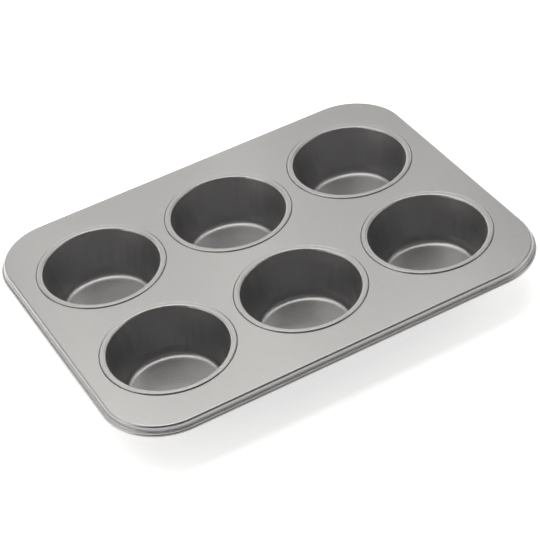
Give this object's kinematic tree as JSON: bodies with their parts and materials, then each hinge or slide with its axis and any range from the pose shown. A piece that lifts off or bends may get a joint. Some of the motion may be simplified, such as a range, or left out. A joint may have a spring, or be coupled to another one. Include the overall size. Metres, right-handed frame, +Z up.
{
  "type": "popover pan",
  "caption": "Rectangular coated steel baking pan: wide round cups are locked into the holes of a flat tray whose rim is rolled round a wire.",
  "frame": {"origin": "centre of the pan, on the surface that the cups' floors stand on", "axes": "+X along the pan's length, +Y across it towards the back row of cups, +Z up out of the cups' mouths"},
  "size_m": [0.3486, 0.267, 0.0416],
  "materials": {
    "tray_coating": "satin grey non-stick coating with a fine sparkle",
    "cup_coating": "satin grey non-stick coating with a fine sparkle",
    "bright_wire": "drawn bright steel wire"
  },
  "bodies": {
    "root": {"tray": "tray_coating", "rim_wire": "bright_wire", "cup_back_left": "cup_coating", "cup_back_centre": "cup_coating", "cup_back_right": "cup_coating", "cup_front_left": "cup_coating", "cup_front_centre": "cup_coating", "cup_front_right": "cup_coating"}
  },
  "joints": []
}
